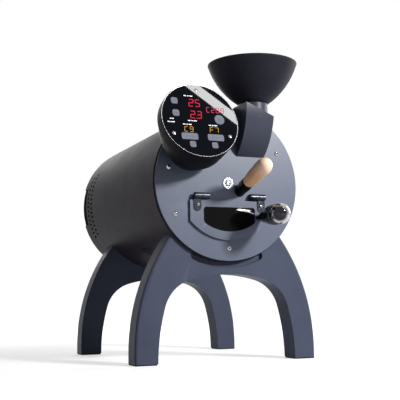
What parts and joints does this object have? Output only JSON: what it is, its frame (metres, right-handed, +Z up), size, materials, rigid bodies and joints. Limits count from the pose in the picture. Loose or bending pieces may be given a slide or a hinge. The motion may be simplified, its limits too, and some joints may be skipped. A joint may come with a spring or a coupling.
{
  "type": "coffee bean roaster",
  "caption": "Countertop drum coffee roaster: horizontal barrel on arched legs, hopper and chute, tilted round display, glazed bean door, wooden trier.",
  "frame": {"origin": "on the table, under the middle of the length and width", "axes": "+Z up; -Y is where the faceplate, display and bean door look; +X to the right of someone facing them"},
  "size_m": [0.34, 0.5875, 0.52],
  "materials": {
    "plate_paint": "satin grey-blue powder coat",
    "leg_paint": "satin grey-blue powder coat",
    "barrel_paint": "fine textured dark grey powder coat",
    "black_zinc": "black zinc",
    "steel": "plain",
    "bright_steel": "bright turned",
    "stainless_drum": "brushed",
    "inner_sheet": "mill",
    "insulation": "woven ceramic",
    "copper": "enamelled copper wire",
    "rubber": "matte",
    "bush_bronze": "sintered",
    "black_plastic": "satin",
    "motor_case": "plain",
    "gear_steel": "oiled",
    "board_green": "solder mask",
    "duct_sheet": "mill",
    "cover_paint": "satin black",
    "hinge_black": "black oxide",
    "door_paint": "satin dark grey",
    "door_glass": "dark, clear",
    "knob_black": "gloss",
    "chrome": "mirror",
    "wood": "oiled",
    "chute_paint": "satin dark",
    "funnel_paint": "matte dark coat",
    "case_plastic": "satin",
    "bezel": "bright",
    "display_glass": "gloss black",
    "key_grey": "soft"
  },
  "bodies": {
    "casing": {"faceplate": "plate_paint", "casing_screws": "bright_steel", "tie_rods": "steel", "axle_bolt": "bright_steel", "front_axle": "steel", "barrel_shell": "barrel_paint", "front_leg": "leg_paint", "rear_leg": "leg_paint", "foot_pads": "rubber", "leg_screws": "black_zinc", "bulkhead": "inner_sheet", "rear_bearing": "bush_bronze", "insulation_sleeve": "insulation", "induction_coil": "copper", "bean_sensor": "black_plastic", "drum_motor": "motor_case", "motor_bracket": "inner_sheet", "exhaust_duct": "duct_sheet", "fan_motor": "motor_case", "board_tray": "inner_sheet", "power_board": "board_green", "rear_cover": "cover_paint", "cooling_fan_frame": "black_plastic", "mains_inlet": "black_plastic", "switch_body": "black_plastic", "hinge_brackets": "hinge_black", "hinge_pins": "steel", "trier_socket": "hinge_black", "chute": "chute_paint", "display_case": "case_plastic", "bezel_ring": "bezel", "display_glass": "display_glass", "display_screws": "bright_steel", "display_board": "board_green"},
    "drum": {"drum_shell": "stainless_drum", "drum_spider": "stainless_drum", "drum_back": "stainless_drum", "drum_shaft": "steel", "drum_gear": "gear_steel"},
    "pinion": {"motor_pinion": "gear_steel"},
    "exhaust_fan": {"exhaust_impeller": "duct_sheet"},
    "cooling_rotor": {"cooling_fan_rotor": "black_plastic"},
    "bean_door": {"door_frame": "door_paint", "door_glass": "door_glass", "hinge_leaves": "hinge_black", "knob_stem": "knob_black", "knob_ball": "chrome"},
    "trier_turning_sleeve": {"trier_sleeve": "bush_bronze"},
    "trier": {"trier_scoop": "stainless_drum", "trier_handle": "wood"},
    "bean_funnel": {"funnel": "funnel_paint"},
    "chaff_cup": {"chaff_basket": "stainless_drum"},
    "switch_rocker": {"power_switch": "black_plastic"},
    "key_up_cap": {"key_up": "key_grey"},
    "key_down_cap": {"key_down": "key_grey"},
    "key_start_cap": {"key_start": "key_grey"},
    "rocker_left_cap": {"rocker_left": "key_grey"},
    "rocker_right_cap": {"rocker_right": "key_grey"},
    "key_mode_left_cap": {"key_mode_left": "key_grey"},
    "key_mode_right_cap": {"key_mode_right": "key_grey"}
  },
  "joints": [
    {"name": "drum_spin", "type": "hinge", "parent": "casing", "child": "drum", "pos_m": [0, -0.0523, 0.3084], "axis": [0, 1, 0], "continuous": true},
    {"name": "pinion_spin", "type": "hinge", "parent": "casing", "child": "pinion", "pos_m": [0, 0.0897, 0.2664], "axis": [0, 1, 0], "continuous": true},
    {"name": "exhaust_fan_spin", "type": "hinge", "parent": "casing", "child": "exhaust_fan", "pos_m": [0, 0.1357, 0.3664], "axis": [0, 1, 0], "continuous": true},
    {"name": "cooling_fan_spin", "type": "hinge", "parent": "casing", "child": "cooling_rotor", "pos_m": [-0.055, 0.2337, 0.2534], "axis": [0, 1, 0], "continuous": true},
    {"name": "door_hinge", "type": "hinge", "parent": "casing", "child": "bean_door", "pos_m": [0, -0.1903, 0.2848], "axis": [-1, 0, 0], "range_deg": [0, 80]},
    {"name": "trier_turn", "type": "hinge", "parent": "casing", "child": "trier_turning_sleeve", "pos_m": [0.023, -0.1823, 0.2969], "axis": [0, -0.9553, 0.2957], "continuous": true},
    {"name": "trier_slide", "type": "slide", "parent": "trier_turning_sleeve", "child": "trier", "axis": [0, -0.9553, 0.2957], "range_m": [0, 0.08]},
    {"name": "funnel_lift", "type": "slide", "parent": "casing", "child": "bean_funnel", "axis": [0, 0, 1], "range_m": [0, 0.06]},
    {"name": "chaff_cup_pull", "type": "slide", "parent": "casing", "child": "chaff_cup", "axis": [0, 1, 0], "range_m": [0, 0.1]},
    {"name": "switch_rock", "type": "hinge", "parent": "casing", "child": "switch_rocker", "pos_m": [0.058, 0.2437, 0.2824], "axis": [-1, 0, 0], "range_deg": [0, 16]},
    {"name": "key_up_press", "type": "slide", "parent": "casing", "child": "key_up_cap", "axis": [0, 0.9521, -0.3057], "range_m": [0, 0.0008], "stiffness_N_per_m": 500, "springref_m": -0.0006},
    {"name": "key_down_press", "type": "slide", "parent": "casing", "child": "key_down_cap", "axis": [0, 0.9521, -0.3057], "range_m": [0, 0.0008], "stiffness_N_per_m": 500, "springref_m": -0.0006},
    {"name": "key_start_press", "type": "slide", "parent": "casing", "child": "key_start_cap", "axis": [0, 0.9521, -0.3057], "range_m": [0, 0.0008], "stiffness_N_per_m": 500, "springref_m": -0.0006},
    {"name": "key_mode_left_press", "type": "slide", "parent": "casing", "child": "key_mode_left_cap", "axis": [0, 0.9521, -0.3057], "range_m": [0, 0.0008], "stiffness_N_per_m": 500, "springref_m": -0.0006},
    {"name": "key_mode_right_press", "type": "slide", "parent": "casing", "child": "key_mode_right_cap", "axis": [0, 0.9521, -0.3057], "range_m": [0, 0.0008], "stiffness_N_per_m": 500, "springref_m": -0.0006},
    {"name": "rocker_left_rock", "type": "hinge", "parent": "casing", "child": "rocker_left_cap", "pos_m": [-0.1035, -0.261, 0.37138], "axis": [0, 0.3057, 0.9521], "range_deg": [-3, 3], "stiffness_Nm_per_rad": 0.15},
    {"name": "rocker_right_rock", "type": "hinge", "parent": "casing", "child": "rocker_right_cap", "pos_m": [-0.0573, -0.261, 0.37138], "axis": [0, 0.3057, 0.9521], "range_deg": [-3, 3], "stiffness_Nm_per_rad": 0.15}
  ],
  "couplings": [
    {"joint": "pinion_spin", "follows": "drum_spin", "ratio": -3}
  ]
}
